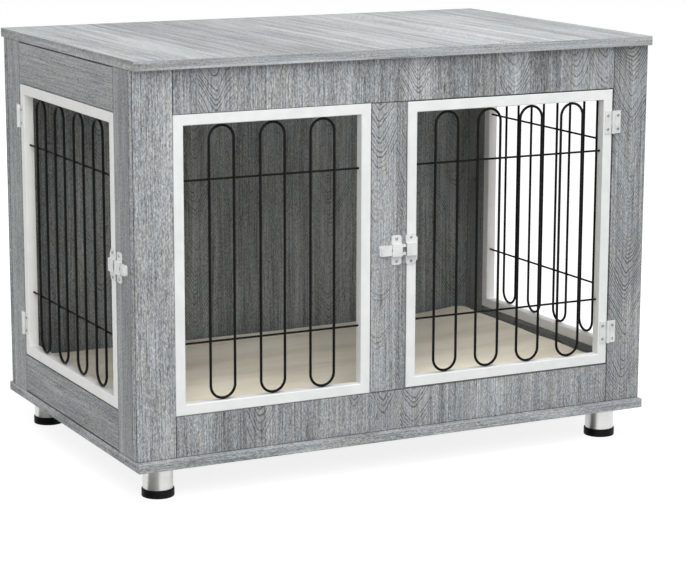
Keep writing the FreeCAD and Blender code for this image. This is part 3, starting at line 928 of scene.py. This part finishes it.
# %% Lay dark cards by the feet
card_near, card_far, rear_card_far = 30 * mm, 450 * mm, 180 * mm
card_lift, card_steps = 2 * mm, 10
card_paper = bpy.data.materials.new("dark_card_paper")
card_paper.use_nodes = True
card_shader = card_paper.node_tree.nodes["Principled BSDF"]
card_shader.inputs["Base Color"].default_value = (0.01, 0.01, 0.01, 1.0)
card_spans = (
    ("left_foot_card", -foot_x, -foot_y, card_far, 14.0, 92.0),
    ("right_foot_card", foot_x, -foot_y, card_far, 52.0, 100.0),
    ("rear_foot_card", -foot_x, foot_y, rear_card_far, -10.0, 100.0),
)
for name, x, y, far, first, last in card_spans:
    turns = [math.radians(first + (last - first) * i / card_steps) for i in range(card_steps + 1)]
    rim = [(card_near, turn) for turn in turns] + [(far, turn) for turn in reversed(turns)]
    corners = [(x - reach * math.sin(turn), y - reach * math.cos(turn), card_lift) for reach, turn in rim]
    card_mesh = bpy.data.meshes.new(name)
    card_mesh.from_pydata(corners, [], [tuple(range(len(corners)))])
    card_mesh.materials.append(card_paper)
    card = new_object(name, card_mesh)
    card.visible_camera = card.visible_diffuse = card.visible_shadow = card.visible_transmission = False
print("dark cards:", len(card_spans))

# %% [markdown]
# ## Cushion
# A loose pad covers the floor of the crate: soft filling in a short-piled beige cover. A box with
# round edges would look hard, so a plain pad is blown up by the cloth simulation, as filling does,
# and its swelling is held back so that it stays inside the walls. Its underside stays flat.

# %% Cut the plain pad
pad_low, pad_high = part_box("cushion")
corner_radius = 34 * mm
side_draw = 4 * mm
corner_steps, side_steps = 14, 24
pad_layers = ((0.2, 11.0), (6.0, 5.0), (20.0, 2.0), (42.0, 1.0), (52.0, 3.0), (57.0, 9.0))


def cushion_outline(inset):
    """A rectangle with round corners whose sides are drawn in between the corners."""
    half_x, half_y = pad_high.x - inset, pad_high.y - inset
    points = []
    for side_x, side_y, start in ((1, 1, 0), (-1, 1, 90), (-1, -1, 180), (1, -1, 270)):
        centre = Vector((side_x * (half_x - corner_radius), side_y * (half_y - corner_radius)))
        for step in range(corner_steps + 1):
            angle = math.radians(start + 90 * step / corner_steps)
            points.append(centre + corner_radius * Vector((math.cos(angle), math.sin(angle))))
    filled = []
    for here, there in zip(points, points[1:] + points[:1]):
        run = there - here
        is_side = run.length > corner_radius
        inward = Vector((-run.y, run.x)).normalized() * side_draw if is_side else Vector((0, 0))
        count = side_steps if is_side else 1
        for step in range(count):
            share = step / count
            filled.append(here.lerp(there, share) + inward * math.sin(math.pi * share))
    return filled


def plain_pad():
    """A closed low pad, smaller than its space, so that it has room to swell."""
    shape = bmesh.new()
    rings = []
    for height, inset in pad_layers:
        outline = cushion_outline(inset * mm)
        rings.append([shape.verts.new((p.x, p.y, pad_low.z + height * mm)) for p in outline])
    skin(shape, rings)
    shape.faces.new(rings[-1])
    return finished_mesh("floor_cushion", shape)


cushion = new_object("floor_cushion", plain_pad())
print("plain pad:", len(cushion.data.polygons), "faces")

# %% Fill it with air
voxel = 7.5 * mm
underside_height = 5 * mm
sim_frames = 20
cover_settings = {
    "quality": 4, "mass": 0.3,
    "tension_stiffness": 12.0, "compression_stiffness": 12.0, "bending_stiffness": 0.4,
    "use_pressure": True, "uniform_pressure_force": 4.0,
}


def corner_array(mesh):
    """The places of a mesh's corners, one row each."""
    places = np.empty(3 * len(mesh.vertices))
    mesh.vertices.foreach_get("co", places)
    return places.reshape(-1, 3)


remesh = cushion.modifiers.new("even_mesh", "REMESH")
remesh.mode = "VOXEL"
remesh.voxel_size = voxel
even = evaluated_mesh(cushion)
cushion.modifiers.clear()
cushion.data = even
before = corner_array(even)
held = cushion.vertex_groups.new(name="underside")
is_low = before[:, 2] < pad_low.z + underside_height
held.add([int(i) for i in np.nonzero(is_low)[0]], 1.0, "REPLACE")
cloth = cushion.modifiers.new("cover", "CLOTH")
for label, value in cover_settings.items():
    setattr(cloth.settings, label, value)
cloth.settings.vertex_group_mass = held.name
cloth.settings.effector_weights.gravity = 0.0
cloth.point_cache.frame_end = sim_frames
for frame_number in range(1, sim_frames + 1):
    scene.frame_set(frame_number)
swollen = evaluated_mesh(cushion)
cushion.modifiers.clear()
cushion.vertex_groups.clear()
cushion.data = swollen
scene.frame_set(1)
moved = corner_array(cushion.data) - before
reach = np.linalg.norm(moved, axis=1, keepdims=True) + 1e-9
print("swelled by up to", round(float(reach.max()) / mm, 1), "mm")

# %% Hold back the swelling and lay in soft folds
swell_limit = 6 * mm
troughs = ((190.0, 32.0, 8.0), (-20.0, 40.0, 7.0), (-190.0, 30.0, 5.5))
trough_wander, ripple_height, end_rise = 26 * mm, 2.4 * mm, 9 * mm
end_rise_span, trough_fade_span = (280 * mm, 440 * mm), (340 * mm, 440 * mm)
fold_start, fold_blend = 20 * mm, 25 * mm
room = 2.5 * mm


def eased(value, start, end):
    """A smooth step from zero to one, as on the bench."""
    share = min(1.0, max(0.0, (value - start) / (end - start)))
    return share * share * (3 - 2 * share)


def fold_height(x, y):
    """Low troughs that wander from end to end, and a right end that is pushed up by the wall."""
    wander = trough_wander * cloud.noise(Vector((x * 3.1, 1.3, 8.2)))
    height = ripple_height * cloud.noise(Vector((x * 5.0, y * 11.0, 3.7)))
    height += end_rise * eased(x, *end_rise_span)
    fade = 1 - eased(abs(x), *trough_fade_span)
    for middle, half_width, depth in troughs:
        height -= fade * depth * mm * math.exp(-(((y - wander) / mm - middle) / half_width) ** 2)
    return height


shaped = before + moved / reach * swell_limit * np.tanh(reach / swell_limit)
top_share = np.clip((shaped[:, 2] - pad_low.z - fold_start) / fold_blend, 0, 1)
shaped[:, 2] += top_share * np.array([fold_height(x, y) for x, y in shaped[:, :2]])
shaped[:, 0] = np.clip(shaped[:, 0], pad_low.x - room, pad_high.x + room)
shaped[:, 1] = np.clip(shaped[:, 1], pad_low.y - room, pad_high.y + room)
shaped[:, 2] = np.maximum(shaped[:, 2], pad_low.z)
cushion.data.vertices.foreach_set("co", shaped.ravel())
cushion.data.update()
cushion.data.shade_smooth()
finer = cushion.modifiers.new("finer", "SUBSURF")
finer.levels = finer.render_levels = 1
print("cushion box:", shaped.min(0).round(4), shaped.max(0).round(4))

# %% The beige cover
pile_beiges = ((0.2, (0.76, 0.68, 0.53)), (0.5, (0.95, 0.87, 0.71)), (0.8, (1.0, 0.94, 0.81)))


def pile_fabric():
    """Short beige pile: soft clouds where it is brushed, fine fibres, and a faint sheen."""
    material, bench, shader = new_material("beige_pile_fabric")
    place = bench.object_place()
    brushed = bench.noise(place, (2.6, 13.0, 9.0), 3.0, 0.55)
    fibres = bench.noise(place, (900.0,) * 3, 2.0, 0.6)
    tufts = bench.noise(place, (260.0,) * 3, 2.0, 0.6)
    tone = bench.weigh(-0.35, (brushed, 1.7))
    tone = bench.weigh(tone, (bench.centred(fibres), 0.35), (bench.centred(tufts), 0.30))
    bench.fill(shader, {
        "Base Color": bench.colours(tone, pile_beiges),
        "Roughness": bench.ease(tufts, 0.3, 0.7, 0.80, 0.95),
        "Sheen Weight": 0.7,
        "Sheen Roughness": 0.5,
        "Sheen Tint": (1.0, 0.94, 0.82, 1.0),
    })
    bump(bench, shader, bench.weigh(fibres, (tufts, 1.5)), 0.35 * mm)
    return material


cushion.data.materials.clear()
cushion.data.materials.append(pile_fabric())
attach(cushion, "crate")
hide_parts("cushion")
print("cushion:", len(cushion.data.polygons), "faces")
